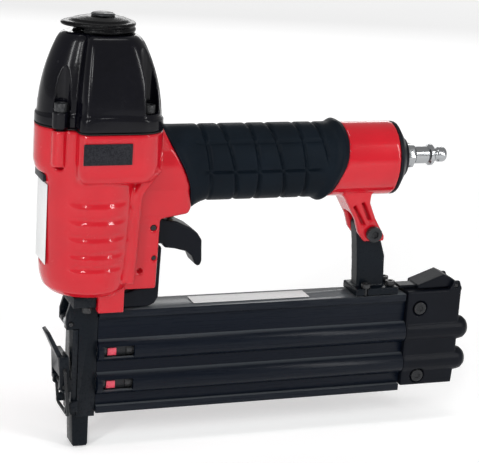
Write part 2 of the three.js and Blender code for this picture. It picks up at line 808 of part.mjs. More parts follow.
function pusher() {
  const plate = block(PUSHER.frontX, PUSHER.backX, -0.6, 0.6, 26, 72);
  const arms = TUBES.map(({ z }) => block(12, 25, TUBE_Y + 2.5, 0.3, z - 1.2, z + 1.2));
  const sleeves = TUBES.map(({ z }) =>
    cut(
      rodX(4.2, PUSHER.sleeveFrontX, PUSHER.sleeveBackX, TUBE_Y, z),
      rodX(ROD_HOLE_RADIUS, 0, 40, TUBE_Y, z, 10),
      block(11, 22, -FAR, TUBE_Y - 2.6, z - 4, z + 4),
    ),
  );
  return join(plate, ...arms, ...sleeves);
}

add("pusher", pusher(), "steel");

const RODS = { frontX: 7, backX: 223.5, springBackX: 218 };
TUBES.forEach(({ name, z }) => {
  add(
    `${name}_indicator`,
    block(11.6, 16.6, TUBE_Y - 3.5, TUBE_Y - 2.9, z - 2.8, z + 1.4),
    "redPlastic",
  );
  add(`${name}_guide_rod`, rodX(1.5, RODS.frontX, RODS.backX, TUBE_Y, z, 10), "steel");
  const length = RODS.springBackX - 2 * GAP - PUSHER.sleeveBackX;
  const spring = coil(3.1, 0.45, length, 16)
    .rotate([0, 90, 0])
    .translate([PUSHER.sleeveBackX + GAP, TUBE_Y, z]);
  add(`${name}_pusher_spring`, spring, "steel");
});

function tailCover() {
  const { frontX, backX, bottomZ, topZ, halfWidth } = TAIL;
  const side = outline([
    [frontX, bottomZ],
    [backX - 1, bottomZ],
    [backX, 40],
    [backX, topZ],
    [frontX, topZ],
  ]);
  const shell = sideSlab(side, -halfWidth, halfWidth, 1.2);
  const bulges = TUBES.map(({ z, radius }) => {
    const r = radius + 0.2;
    const dome = [[r, 222], [r * 0.92, 224.6], [r * 0.65, 226.8], [0, 227.5]];
    return turnedX([[0, frontX], [r, frontX], ...dome], TUBE_Y, z, 20);
  });
  const bores = TUBES.map(({ z }) => rodX(TUBE_BORE, 180, RODS.springBackX, TUBE_Y, z, 20));
  const rodSockets = TUBES.map(({ z }) =>
    rodX(ROD_HOLE_RADIUS, 180, RODS.backX + GAP, TUBE_Y, z, 10),
  );
  const earSide = outline([[212.5, 79], [220.5, 79], [220.5, 80.5], [218.8, 84.6], [215.6, 84.6]]);
  const ears = [sideSlab(earSide, -halfWidth, -8, 0.4), sideSlab(earSide, 8, halfWidth, 0.4)];
  const pinHole = rodY(1.5, TAIL_PIVOT.x, TAIL_PIVOT.z, -20, 20);
  const screwBores = tailScrews.map(([x, z]) => rodY(1.9, x, z, -20, 4, 10));
  const screwPockets = tailScrews.map(([x, z]) => rodY(4.6, x, z, -20, -9));
  return cut(
    join(shell, ...bulges, ...ears),
    ...bores,
    ...rodSockets,
    pinHole,
    ...screwBores,
    ...screwPockets,
  );
}

const tailScrews = [[195, 69.4], [197, 28.6]];
add("tail_cover", tailCover(), "blackPlastic");

tailScrews.forEach(([x, z], i) => {
  const head = cut(rodY(3.6, x, z, -10.8, -9.3), rodY(1.7, x, z, -12, -10.2, 6));
  add(`tail_screw_${i + 1}`, join(head, rodY(1.6, x, z, -9.4, 3.4, 10)), "darkSteel");
});

function latchLever() {
  const side = outline([
    [194, 80],
    [194, 82.2],
    [210, 88],
    [214.4, 86],
    [219.6, 82.6],
    [219.6, 81.4],
    [218, 80.2],
  ]);
  const wedge = sideSlab(side, -7.6, 7.6, 0.8);
  const tongue = block(184, 196, -4, 4, 80, 81.6);
  const springBay = block(213.5, FAR, -3, 3, 70, FAR);
  const pinHole = rodY(1.5, TAIL_PIVOT.x, TAIL_PIVOT.z, -20, 20);
  return cut(join(wedge, tongue), springBay, pinHole);
}

add("latch_lever", latchLever(), "blackPlastic");
add("latch_pin", rodY(1.2, TAIL_PIVOT.x, TAIL_PIVOT.z, -10, 10), "darkSteel");
add(
  "latch_spring",
  coil(1.9, 0.3, 5, 4)
    .rotate([90, 0, 0])
    .translate([TAIL_PIVOT.x, 2.5, TAIL_PIVOT.z]),
  "steel",
);

// ---------------------------------------------------------------- nose

const GUIDE = { frontX: -4.2, backX: 5.8, halfWidth: 8 };

function noseGuide() {
  const column = block(GUIDE.frontX, GUIDE.backX, -GUIDE.halfWidth, GUIDE.halfWidth, 18, 80);
  const tipSide = outline([[-5.2, 1], [-4.4, 0], [2.6, 0], [3.4, 1], [3.4, 19], [-6, 19]]);
  const tip = sideSlab(tipSide, -5.8, 5.8, 0.6);
  const flange = block(-9.5, 2.6, -14, 14, 82, BARREL.bottomZ - GAP);
  const shank = block(GUIDE.frontX, 2.6, -GUIDE.halfWidth, GUIDE.halfWidth, 78, 83);
  const earSide = outline([[-9.5, 83], [-11.4, 76], [-11.4, 70], [-9, 68.2], [-4, 68.2], [-4, 83]]);
  const ears = [sideSlab(earSide, -8, -5.7), sideSlab(earSide, 5.7, 8)];
  const hookSide = outline([[-4, 21.6], [-11, 21.6], [-11, 24], [-8, 27], [-4, 28]]);
  const hooks = [sideSlab(hookSide, -9.8, -7.9), sideSlab(hookSide, 7.9, 9.8)];
  const channel = block(-1.3, 1.3, -2.1, 2.1, -1, 95);
  const frontMouth = block(-20, 0, -2.1, 2.1, 20, 66);
  const feedSlot = block(0, 20, -1, 1, 24.3, 73.7);
  const hingeHole = rodY(1.5, DOOR_PIVOT.x, DOOR_PIVOT.z, -20, 20);
  const screwHoles = noseScrews.map(([x, y]) => rodZ(2, x, y, 75, 95, 10));
  return cut(
    join(column, tip, flange, shank, ...ears, ...hooks),
    channel,
    frontMouth,
    feedSlot,
    hingeHole,
    ...screwHoles,
  );
}

add("nose_guide", noseGuide(), "blackMetal");

noseScrews.forEach(([x, y], i) => {
  const shank = rodZ(1.7, x, y, 81.5, 96, 10);
  const head = cut(rodZ(2.8, x, y, 78.6, 81.7), rodZ(1.4, x, y, 77, 80, 6));
  add(`nose_screw_${i + 1}`, join(shank, head), "darkSteel");
});

function noseDoor() {
  const plate = block(-7.4, -4.5, -7.5, 7.5, 17.5, 67.5);
  const aboveTip = block(-7.4, -4.4, -7.5, 7.5, 0, 19.4);
  const rib = block(-5, -1.6, -1.7, 1.7, 21, 65);
  const knuckleArm = block(-9, -7, 0.4, 5.3, 65, 71);
  const knuckle = rodY(2.6, DOOR_PIVOT.x, DOOR_PIVOT.z, 0.4, 5.3);
  const earSide = outline([[-7, 32.5], [-11.5, 32.5], [-14, 34], [-14, 38], [-11.5, 39.5], [-7, 39.5]]);
  const ears = [sideSlab(earSide, -7.5, -5), sideSlab(earSide, 5, 7.5)];
  const hingeHole = rodY(1.5, DOOR_PIVOT.x, DOOR_PIVOT.z, -20, 20);
  const latchHole = rodY(1.5, LATCH_PIVOT.x, LATCH_PIVOT.z, -20, 20);
  return cut(join(cut(plate, aboveTip), rib, knuckleArm, knuckle, ...ears), hingeHole, latchHole);
}

add("nose_door", noseDoor(), "blackMetal");
add("door_hinge_pin", rodY(1.2, DOOR_PIVOT.x, DOOR_PIVOT.z, -9, 9), "darkSteel");
add(
  "door_spring",
  coil(2.4, 0.45, 5, 4).rotate([90, 0, 0]).translate([DOOR_PIVOT.x, -0.1, DOOR_PIVOT.z]),
  "steel",
);

function noseLatchLever() {
  const cheekSide = outline([
    [-8.6, 34.5],
    [-10, 33],
    [-12.6, 33],
    [-14, 36],
    [-14.6, 52],
    [-9.6, 52],
    [-8.8, 38],
  ]);
  const cheeks = [sideSlab(cheekSide, -9.3, -7.8), sideSlab(cheekSide, 7.8, 9.3)];
  const webSide = outline([[-14.2, 42], [-14.8, 53], [-9.6, 53], [-9.6, 51], [-13.2, 51], [-12.7, 42]]);
  const web = sideSlab(webSide, -9.3, 9.3);
  const tabSide = outline([[-14.8, 51.6], [-21.2, 65.4], [-19.4, 66.2], [-12.4, 52.6]]);
  const tab = sideSlab(tabSide, -6, 6, 0.5);
  const pivotHole = rodY(1.5, LATCH_PIVOT.x, LATCH_PIVOT.z, -20, 20);
  return cut(join(...cheeks, web, tab), pivotHole);
}

add("nose_latch_lever", noseLatchLever(), "blackMetal");
add("nose_latch_pin", rodY(1.2, LATCH_PIVOT.x, LATCH_PIVOT.z, -9.6, 9.6), "darkSteel");

// The wire loop runs from the lever down both sides and across under the two hooks.
function latchBail() {
  const wireRadius = 1;
  const legY = 11;
  const corner = 1.6;
  const top = new THREE.Vector3(BAIL_PIVOT.x, 0, BAIL_PIVOT.z);
  const low = new THREE.Vector3(BAIL_BAR.x, 0, BAIL_BAR.z);
  const down = low.clone().sub(top).normalize();
  const at = (point, y, along) => point.clone().addScaledVector(down, along).setY(y);
  const path = new THREE.CurvePath();
  const line = (a, b) => path.add(new THREE.LineCurve3(a, b));
  const bend = (a, knee, b) => path.add(new THREE.QuadraticBezierCurve3(a, knee, b));
  const side = (sign) => ({
    end: at(top, sign * 9.7, 0),
    turn: at(top, sign * (legY - 0.4), 0),
    knee: at(top, sign * legY, 0),
    leg: at(top, sign * legY, corner),
    legEnd: at(low, sign * legY, -corner),
    lowKnee: at(low, sign * legY, 0),
    barEnd: at(low, sign * (legY - corner), 0),
  });
  const near = side(-1);
  const far = side(1);
  line(near.end, near.turn);
  bend(near.turn, near.knee, near.leg);
  line(near.leg, near.legEnd);
  bend(near.legEnd, near.lowKnee, near.barEnd);
  line(near.barEnd, far.barEnd);
  bend(far.barEnd, far.lowKnee, far.legEnd);
  line(far.legEnd, far.leg);
  bend(far.leg, far.knee, far.turn);
  line(far.turn, far.end);
  return wire(path, wireRadius, 48, 3);
}

add("latch_bail", latchBail(), "steel");

// ---------------------------------------------------------------- badge and labels, all blank

add("badge", block(-12, 13.5, -HEAD.side - 0.9, -HEAD.side - GAP, 163.5, 174.5), "blackGloss");
const labelBack = LABEL.x + LABEL.thickness - GAP;
add("front_label", block(labelBack - LABEL.thickness, labelBack, -10, 10, 105.5, 148.5), "label");
add(
  "magazine_label",
  block(60, 128, -5.5, 5.5, MAGAZINE.topZ + GAP, MAGAZINE.topZ + GAP + 0.4),
  "label",
);

tool.position.x = DRIVER_AXIS_X;

export default tool;
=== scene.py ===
"""The looks of a red and black pneumatic brad nailer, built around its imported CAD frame.

Lengths in the functions are millimetres from the driver axis and the nose tip, as in the CAD;
at() turns them into metres in the row frame.
"""

import json
import math

import bmesh
import bpy
import numpy as np
from mathutils import Matrix, Vector


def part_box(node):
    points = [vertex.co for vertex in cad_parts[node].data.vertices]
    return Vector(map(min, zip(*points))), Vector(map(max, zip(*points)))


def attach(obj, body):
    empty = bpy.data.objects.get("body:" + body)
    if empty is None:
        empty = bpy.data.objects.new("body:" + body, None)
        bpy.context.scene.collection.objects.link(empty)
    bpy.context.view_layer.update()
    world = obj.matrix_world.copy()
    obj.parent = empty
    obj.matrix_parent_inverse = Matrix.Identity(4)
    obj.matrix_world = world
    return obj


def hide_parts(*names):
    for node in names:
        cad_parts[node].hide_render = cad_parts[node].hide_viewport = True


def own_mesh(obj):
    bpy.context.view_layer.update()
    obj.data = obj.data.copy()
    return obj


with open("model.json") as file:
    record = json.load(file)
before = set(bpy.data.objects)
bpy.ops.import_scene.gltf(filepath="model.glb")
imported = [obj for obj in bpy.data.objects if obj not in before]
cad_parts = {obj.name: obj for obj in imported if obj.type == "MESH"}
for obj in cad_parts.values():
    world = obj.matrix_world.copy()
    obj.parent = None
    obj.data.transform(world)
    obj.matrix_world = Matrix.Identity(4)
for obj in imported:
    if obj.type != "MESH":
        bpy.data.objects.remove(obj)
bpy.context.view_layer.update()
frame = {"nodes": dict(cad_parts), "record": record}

MM = 0.001
RECORD = frame["record"]
NODES = frame["nodes"]


def span(node):
    """The lowest and highest corners of a CAD node, in millimetres from the driver axis."""
    low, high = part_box(node)
    shift = Vector((AXIS_X, 0, 0))
    return (low - shift) / MM, (high - shift) / MM


def middle(node):
    """The middle of a CAD node's box, in millimetres from the driver axis."""
    low, high = span(node)
    return (low.x + high.x) / 2, (low.y + high.y) / 2, (low.z + high.z) / 2


piston_low, piston_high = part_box("piston")
AXIS_X = (piston_low.x + piston_high.x) / 2


def at(x, y, z):
    """A point given in millimetres from the driver axis, in metres in the row frame."""
    return Vector((AXIS_X + x * MM, y * MM, z * MM))


# ---------------------------------------------------------------- materials

DRIFT_SCALE = 35.0
GRAIN_DEPTH = 0.0002
COAT_ROUGHNESS = 0.06
WORN_FROM, WORN_TO = 0.53, 0.6  # pointiness of an edge where wear starts and is full
# the top colour is a painted highlight: up-facing faces drawn lighter for the light they catch
SHEEN_UP_FROM = 0.75  # how far a face's normal points up where the top colour starts


def node_material(name):
    """An empty node material with its shader joined to the output."""
    material = bpy.data.materials.new(name)
    material.use_nodes = True
    nodes, links = material.node_tree.nodes, material.node_tree.links
    nodes.clear()
    output = nodes.new("ShaderNodeOutputMaterial")
    shader = nodes.new("ShaderNodeBsdfPrincipled")
    links.new(shader.outputs[0], output.inputs[0])
    return material, nodes, links, shader


def noise(nodes, links, vector, scale, detail=3.0, rough=0.55):
    """A noise value over a surface."""
    texture = nodes.new("ShaderNodeTexNoise")
    texture.inputs["Scale"].default_value = scale
    texture.inputs["Detail"].default_value = detail
    texture.inputs["Roughness"].default_value = rough
    links.new(vector, texture.inputs["Vector"])
    return texture.outputs["Fac"]


def ranged(nodes, links, value, from_low, from_high, to_low, to_high):
    """A value moved from one range to another."""
    node = nodes.new("ShaderNodeMapRange")
    for socket, number in zip(
        ("From Min", "From Max", "To Min", "To Max"),
        (from_low, from_high, to_low, to_high),
    ):
        node.inputs[socket].default_value = number
    links.new(value, node.inputs["Value"])
    return node.outputs["Result"]


def mixed(nodes, links, factor, first, second):
    """Two colours, each a tuple or a socket, mixed by a factor."""
    node = nodes.new("ShaderNodeMix")
    node.data_type = "RGBA"
    links.new(factor, node.inputs["Factor"])
    for socket, value in ((node.inputs[6], first), (node.inputs[7], second)):
        if isinstance(value, tuple):
            socket.default_value = (*value, 1)
        else:
            links.new(value, socket)
    return node.outputs[2]


def scaled(colour, amount):
    return tuple(min(1.0, c * amount) for c in colour)


def finish(
    name,
    colour,
    rough,
    metallic=0.0,
    coat=0.0,
    vary=0.15,
    grain=900.0,
    bump=0.15,
    wear=0.25,
    worn=(0.45, 0.45, 0.45),
    stretch=(1, 1, 1),
    specular=0.5,
    rough_spread=0.06,
    top=None,
):
    """A surface with slow colour drift, fine grain in roughness and bump, and lighter worn edges.

    Faces that point up take the top colour, where one is given: a painted highlight, lighter for the
    light that falls on them from above.
    """
    material, nodes, links, shader = node_material(name)
    place = nodes.new("ShaderNodeTexCoord")
    mapping = nodes.new("ShaderNodeMapping")
    mapping.inputs["Scale"].default_value = stretch
    links.new(place.outputs["Object"], mapping.inputs["Vector"])
    vector = mapping.outputs["Vector"]
    drift = noise(nodes, links, vector, DRIFT_SCALE)
    fine = noise(nodes, links, vector, grain, 4.0, 0.6)
    blotch = ranged(nodes, links, drift, 0.3, 0.7, 0.0, 1.0)
    base = mixed(nodes, links, blotch, scaled(colour, 1 - vary), scaled(colour, 1 + vary))
    geometry = nodes.new("ShaderNodeNewGeometry")
    edges = ranged(nodes, links, geometry.outputs["Pointiness"], WORN_FROM, WORN_TO, 0.0, wear)
    patches = nodes.new("ShaderNodeMath")
    patches.operation = "MULTIPLY"
    links.new(edges, patches.inputs[0])
    links.new(ranged(nodes, links, fine, 0.35, 0.6, 0.2, 1.0), patches.inputs[1])
    # painted highlight: faces that point up blend towards the lighter top colour
    if top:
        split = nodes.new("ShaderNodeSeparateXYZ")
        links.new(geometry.outputs["Normal"], split.inputs[0])
        painted_top_sheen = ranged(nodes, links, split.outputs["Z"], SHEEN_UP_FROM, 1.0, 0.0, 1.0)
        base = mixed(nodes, links, painted_top_sheen, base, top)
    links.new(mixed(nodes, links, patches.outputs[0], base, worn), shader.inputs["Base Color"])
    links.new(
        ranged(nodes, links, fine, 0.3, 0.7, rough - rough_spread, rough + rough_spread),
        shader.inputs["Roughness"],
    )
    relief = nodes.new("ShaderNodeBump")
    relief.inputs["Strength"].default_value = bump
    relief.inputs["Distance"].default_value = GRAIN_DEPTH
    links.new(fine, relief.inputs["Height"])
    links.new(relief.outputs["Normal"], shader.inputs["Normal"])
    shader.inputs["Metallic"].default_value = metallic
    shader.inputs["Coat Weight"].default_value = coat
    shader.inputs["Coat Roughness"].default_value = COAT_ROUGHNESS
    shader.inputs["Specular IOR Level"].default_value = specular
    return material


ALONG = (0.06, 1, 1)  # stretches a grain along X
FINISHES = {
    "red_paint": finish(
        "red_paint", (0.48, 0.004, 0.013), 0.22, coat=0.6, specular=0.12, grain=260, bump=0.05,
        vary=0.08, wear=0.18, worn=(0.85, 0.25, 0.27),
    ),
    "black_paint": finish(
        "black_paint", (0.002, 0.002, 0.004), 0.22, coat=0.16, specular=0.12, grain=300, bump=0.04,
        vary=0.25, wear=0.15, worn=(0.06, 0.06, 0.065),
    ),
    "grip_rubber": finish(
        "grip_rubber", (0.003, 0.006, 0.010), 0.5, grain=1500, bump=0.45, vary=0.2,
        wear=0.35, worn=(0.03, 0.038, 0.048), specular=0.07,
    ),
    "seal_rubber": finish(
        "seal_rubber", (0.006, 0.006, 0.006), 0.7, specular=0.2, grain=1200, bump=0.2, wear=0.1,
    ),
    "black_steel": finish(
        "black_steel", (0.003, 0.005, 0.008), 0.3, specular=0.11, grain=800, bump=0.12, vary=0.2,
        wear=0.25, worn=(0.05, 0.052, 0.056),
    ),
    "black_aluminium": finish(
        "black_aluminium", (0.002, 0.004, 0.009), 0.28, specular=0.12, grain=900, bump=0.05, vary=0.08,
        # top: a painted highlight, lighter up-facing faces and tube tops
        rough_spread=0.02, top=(0.09, 0.10, 0.11),
        wear=0.25, worn=(0.04, 0.045, 0.05), stretch=ALONG,
    ),
    "black_plastic": finish(
        "black_plastic", (0.003, 0.004, 0.007), 0.38, specular=0.11, grain=1400, bump=0.25, vary=0.15,
        wear=0.3, worn=(0.09, 0.09, 0.1),
    ),
    "gloss_black_plastic": finish(
        "gloss_black_plastic", (0.0015, 0.0015, 0.002), 0.27, specular=0.12, grain=500, bump=0.04,
        vary=0.2, wear=0.15, worn=(0.1, 0.1, 0.1),
    ),
    "dark_steel": finish(
        "dark_steel", (0.020, 0.021, 0.023), 0.3, metallic=0.4, specular=0.25, grain=1000, bump=0.15,
        vary=0.25, wear=0.35, worn=(0.12, 0.12, 0.12),
    ),
    "steel": finish(
        "steel", (0.42, 0.43, 0.44), 0.3, metallic=1.0, grain=900, bump=0.12, wear=0.3,
        worn=(0.75, 0.75, 0.75),
    ),
    "chrome": finish(
        "chrome", (0.36, 0.37, 0.38), 0.2, metallic=1.0, grain=500, bump=0.05,
        vary=0.05, wear=0.2, worn=(0.9, 0.9, 0.9), rough_spread=0.04,
    ),
    "bare_aluminium": finish(
        "bare_aluminium", (0.55, 0.56, 0.57), 0.36, metallic=1.0, grain=900, bump=0.15,
        wear=0.3, worn=(0.8, 0.8, 0.8), stretch=ALONG,
    ),
    "brass": finish(
        "brass", (0.55, 0.38, 0.13), 0.3, metallic=1.0, grain=800, bump=0.1,
    ),
    "red_plastic": finish(
        "red_plastic", (0.70, 0.015, 0.06), 0.4, grain=900, bump=0.1, vary=0.1,
    ),
    "label": finish(
        "label", (0.78, 0.79, 0.79), 0.45, grain=700, bump=0.06, vary=0.04, wear=0.1,
        worn=(0.5, 0.5, 0.5),
    ),
}


SLOT_OF = {part["node"]: part["material_slot"] for part in RECORD["subparts"]}


# ---------------------------------------------------------------- mesh tools

SAME_POINT = 1e-6
SMOOTHING = 0.5  # how far each round of smoothing moves a point
BEVEL_STEPS = 2


def new_object(name, mesh):
    """A piece that holds a mesh."""
    piece = bpy.data.objects.new(name, mesh)
    bpy.context.scene.collection.objects.link(piece)
    return piece


def from_faces(name, points, faces):
    """A piece from points and faces, with its faces turned outwards."""
    mesh = bpy.data.meshes.new(name)
    mesh.from_pydata([tuple(p) for p in points], [], faces)
    work = bmesh.new()
    work.from_mesh(mesh)
    bmesh.ops.recalc_face_normals(work, faces=work.faces)
    work.to_mesh(mesh)
    work.free()
    return new_object(name, mesh)


def hoop(name, rings):
    """A closed body through rings of equal length, the last one joined back to the first."""
    count = len(rings[0])
    points = [p for ring in rings for p in ring]
    faces = []
    for i in range(len(rings)):
        n = (i + 1) % len(rings)
        for j in range(count):
            k = (j + 1) % count
            faces.append((i * count + j, i * count + k, n * count + k, n * count + j))
    return from_faces(name, points, faces)


def loft(name, rings):
    """A closed body through rings of equal length, each a list of points."""
    count = len(rings[0])
    points = [p for ring in rings for p in ring]
    faces = []
    for i in range(len(rings) - 1):
        for j in range(count):
            k = (j + 1) % count
            low, high = i * count, (i + 1) * count
            faces.append((low + j, low + k, high + k, high + j))
    faces.append(tuple(range(count)))
    last = (len(rings) - 1) * count
    faces.append(tuple(last + j for j in reversed(range(count))))
    return from_faces(name, points, faces)


def turned(name, profile, place, direction="Z", sides=96):
    """A profile of (radius, along) points that starts and ends on the axis, turned about X or Z."""
    rings = []
    for radius, along in profile:
        ring = []
        for j in range(sides):
            angle = 2 * math.pi * j / sides
            a, b = radius * math.cos(angle), radius * math.sin(angle)
            offset = (along, a, b) if direction == "X" else (a, b, along)
            ring.append(at(*(Vector(place) + Vector(offset))))
        rings.append(ring)
    piece = loft(name, rings)
    clean(piece)
    return piece


def clean(piece):
    """Joins points that lie on each other, and turns the faces outwards."""
    work = bmesh.new()
    work.from_mesh(piece.data)
    bmesh.ops.remove_doubles(work, verts=work.verts, dist=SAME_POINT)
    bmesh.ops.recalc_face_normals(work, faces=work.faces)
    work.to_mesh(piece.data)
    work.free()


def block(name, x0, x1, y0, y1, z0, z1):
    """A plain box."""
    corners = [at(x, y, z) for x in (x0, x1) for y in (y0, y1) for z in (z0, z1)]
    faces = [(0, 1, 3, 2), (4, 6, 7, 5), (0, 4, 5, 1), (2, 3, 7, 6), (0, 2, 6, 4), (1, 5, 7, 3)]
    return from_faces(name, corners, faces)


def cad_copy(node, name):
    """A new piece with a CAD node's shape."""
    piece = new_object(name, NODES[node].data.copy())
    piece.data.materials.clear()
    clean(piece)
    return piece


def settle(piece):
    """Applies the modifiers."""
    graph = bpy.context.evaluated_depsgraph_get()
    mesh = bpy.data.meshes.new_from_object(piece.evaluated_get(graph))
    piece.modifiers.clear()
    piece.data = mesh
    return piece


def combine(piece, operation, tools):
    """Joins, cuts or intersects a piece with other pieces, which are used up."""
    for tool in tools:
        step = piece.modifiers.new(operation, "BOOLEAN")
        step.operation = operation
        step.solver = "MANIFOLD"
        step.object = tool
        settle(piece)
        bpy.data.objects.remove(tool)
    return piece


def cut(piece, *tools):
    return combine(piece, "DIFFERENCE", tools)


def join(piece, *tools):
    return combine(piece, "UNION", tools)


def keep(piece, tool):
    return combine(piece, "INTERSECT", [tool])


def cast(piece, voxel, rounds):
    """Rounds every edge a little, as on a casting: an even skin of small faces, then smoothed."""
    skin = piece.modifiers.new("skin", "REMESH")
    skin.mode = "VOXEL"
    skin.voxel_size = voxel * MM
    smooth = piece.modifiers.new("smooth", "SMOOTH")
    smooth.factor = SMOOTHING
    smooth.iterations = rounds
    return settle(piece)


def thin(piece, ratio):
    """Fewer faces, kept where the surface bends."""
    tool = piece.modifiers.new("thin", "DECIMATE")
    tool.ratio = ratio
    return settle(piece)


def shade(piece, angle):
    """Smooth shading, with sharp edges above an angle where one is given."""
    piece.data.shade_smooth()
    if angle is not None:
        piece.data.set_sharp_from_angle(angle=math.radians(angle))


def place(piece, body, slot, *nodes, smooth):
    """Dresses a piece and fixes it to its body."""
    piece.data.materials.clear()
    piece.data.materials.append(FINISHES[slot])
    shade(piece, smooth)
    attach(piece, body)
    if nodes:
        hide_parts(*nodes)
    return piece


def bevelled(piece, width, angle=30):
    """Edges above an angle broken by a small bevel."""
    tool = piece.modifiers.new("bevel", "BEVEL")
    tool.width = width * MM
    tool.segments = BEVEL_STEPS
    tool.limit_method = "ANGLE"
    tool.angle_limit = math.radians(angle)
    tool.harden_normals = False
    return piece


# ---------------------------------------------------------------- camera, light and floor

AZIMUTH, ELEVATION, ROLL = (math.radians(a) for a in (21.0, 16.0, 3.75))
EYE = Vector((-229.7, -831.5, 371.7)) * MM
LENS, SENSOR, NEAREST = 127.8, 36, 0.01


def camera():
    """The camera, turned about its own line of sight by ROLL."""
    forward = Vector(
        (
            math.sin(AZIMUTH) * math.cos(ELEVATION),
            math.cos(AZIMUTH) * math.cos(ELEVATION),
            -math.sin(ELEVATION),
        )
    )
    level = Vector((math.cos(AZIMUTH), -math.sin(AZIMUTH), 0))
    upright = level.cross(forward)
    right = level * math.cos(ROLL) + upright * math.sin(ROLL)
    up = upright * math.cos(ROLL) - level * math.sin(ROLL)
    data = bpy.data.cameras.new("camera")
    data.lens = LENS
    data.sensor_width = SENSOR
    data.clip_start = NEAREST
    view = bpy.data.objects.new("camera", data)
    basis = Matrix((right, up, -forward)).transposed().to_4x4()
    view.matrix_world = Matrix.Translation(EYE) @ basis
    bpy.context.scene.collection.objects.link(view)
    bpy.context.scene.camera = view


AIM = Vector((0.09, 0, 0.13))
WORLD_LIGHT = 0.45
FLOOR_HALF, FLOOR_DROP = 6.0, 0.0005
GLOW_NEAR, GLOW_FAR = 0.24, 0.55
GLOW_FROM, GLOW_TO = 0.9, 2.6  # metres from the frame's origin


def softbox(name, azimuth, height, distance, width, tall, power):
    """A rectangular light that faces the tool; azimuth is 0 in front (-Y) and grows towards -X."""
    angle = math.radians(azimuth)
    spot = AIM + Vector((-math.sin(angle), -math.cos(angle), 0)) * distance
    spot.z = height
    data = bpy.data.lights.new(name, "AREA")
    data.shape = "RECTANGLE"
    data.size, data.size_y = width, tall
    data.energy = power
    lamp = bpy.data.objects.new(name, data)
    lamp.location = spot
    lamp.rotation_euler = (AIM - spot).to_track_quat("-Z", "Y").to_euler()
    bpy.context.scene.collection.objects.link(lamp)


def studio():
    """An even pale surround and five softboxes."""
    world = bpy.data.worlds.new("studio")
    world.use_nodes = True
    background = world.node_tree.nodes["Background"]
    background.inputs["Color"].default_value = (1.0, 1.0, 1.0, 1)
    background.inputs["Strength"].default_value = WORLD_LIGHT
    bpy.context.scene.world = world
    bpy.context.scene.view_settings.view_transform = "Standard"
    softbox(
        "left_box", azimuth=50, height=0.62, distance=1.15, width=0.1, tall=0.8, power=5.0,
    )
    softbox(
        "cap_box", azimuth=25, height=0.76, distance=1.2, width=0.1, tall=0.4, power=3,
    )
    softbox(
        "right_box", azimuth=-40, height=0.62, distance=1.25, width=0.1, tall=0.8, power=5.0,
    )
    softbox(
        "top_box", azimuth=15, height=1.7, distance=0.25, width=0.9, tall=0.22, power=4.5,
    )
    softbox(
        "back_box", azimuth=195, height=0.52, distance=1.35, width=1.2, tall=0.22, power=3.2,
    )


def pale_floor():
    """A plain floor that glows a little, more so far away, where the softboxes don't reach."""
    mesh = bpy.data.meshes.new("floor")
    work = bmesh.new()
    bmesh.ops.create_grid(work, x_segments=8, y_segments=8, size=FLOOR_HALF)
    work.to_mesh(mesh)
    work.free()
    floor = new_object("floor", mesh)
    material, nodes, links, shader = node_material("floor")
    spot = nodes.new("ShaderNodeTexCoord").outputs["Object"]
    soft = noise(nodes, links, spot, 4.0)
    pale = mixed(nodes, links, soft, (0.93, 0.93, 0.93), (0.96, 0.96, 0.96))
    links.new(pale, shader.inputs["Base Color"])
    shader.inputs["Roughness"].default_value = 0.9
    shader.inputs["Emission Color"].default_value = (1, 1, 1, 1)
    away = nodes.new("ShaderNodeVectorMath")
    away.operation = "LENGTH"
    links.new(spot, away.inputs[0])
    glow = ranged(
        nodes, links, away.outputs["Value"], GLOW_FROM, GLOW_TO, GLOW_NEAR, GLOW_FAR
    )
    links.new(glow, shader.inputs["Emission Strength"])
    shader.inputs["Specular IOR Level"].default_value = 0.1
    floor.data.materials.append(material)
    floor.location.z = -FLOOR_DROP


camera()
studio()
pale_floor()

# ---------------------------------------------------------------- head outline

cap_low, cap_high = span("cylinder_cap")
FRONT, BACK, SIDE = cap_low.x, cap_high.x, cap_high.y
NOSE_MIDDLE, NOSE_HALF = -10.0, 19.0
SIDE_FROM, FRONT_CORNER, BACK_CORNER = -13.5, 5.5, 15.0
MIDDLE_X = (FRONT + BACK) / 2
SEAM = cap_low.z
CAP_TOP = cap_high.z
TALL = 260  # above everything, for cutters
BOLT_HEAD, BOLT_HOLE = 4.5, 2.6
BOLTS = [middle(f"cap_bolt_{n}")[:2] for n in (1, 2, 3, 4)]
BOLT_SEAT = span("cap_bolt_1")[1].z - BOLT_HEAD


def in_head(x, y):
    """Whether a point is inside the head's plan: a round nose and a wider block with round corners."""
    if ((x - NOSE_MIDDLE) / (NOSE_MIDDLE - FRONT)) ** 2 + (y / NOSE_HALF) ** 2 <= 1:
        return True
    if not SIDE_FROM <= x <= BACK or abs(y) > SIDE:
        return False
    corners = (
        (SIDE_FROM + FRONT_CORNER, FRONT_CORNER),
        (BACK - BACK_CORNER, BACK_CORNER),
    )
    for inner, corner in corners:
        past = inner - x if inner < MIDDLE_X else x - inner
        above = abs(y) - SIDE + corner
        if past > 0 and above > 0 and math.hypot(past, above) > corner:
            return False
    return True


def head_reach(angle):
    """How far the head's outline is from the driver axis in one direction."""
    low, high = 5.0, 80.0
    for _ in range(24):
        tried = (low + high) / 2
        if in_head(tried * math.cos(angle), tried * math.sin(angle)):
            low = tried
        else:
            high = tried
    return low


HEAD_STEPS = 480
HEAD_ANGLES = [2 * math.pi * i / HEAD_STEPS for i in range(HEAD_STEPS)]
HEAD_REACH = [head_reach(a) for a in HEAD_ANGLES]


def smoothstep(low, high, value):
    """0 below the range, 1 above it, and an even curve between."""
    t = min(1.0, max(0.0, (value - low) / (high - low)))
    return t * t * (3 - 2 * t)


def rod(name, radius, x, y, z0, z1, sides=48):
    """An upright cylinder."""
    return turned(name, [(0, z0), (radius, z0), (radius, z1), (0, z1)], (x, y, 0), sides=sides)


# ---------------------------------------------------------------- cap

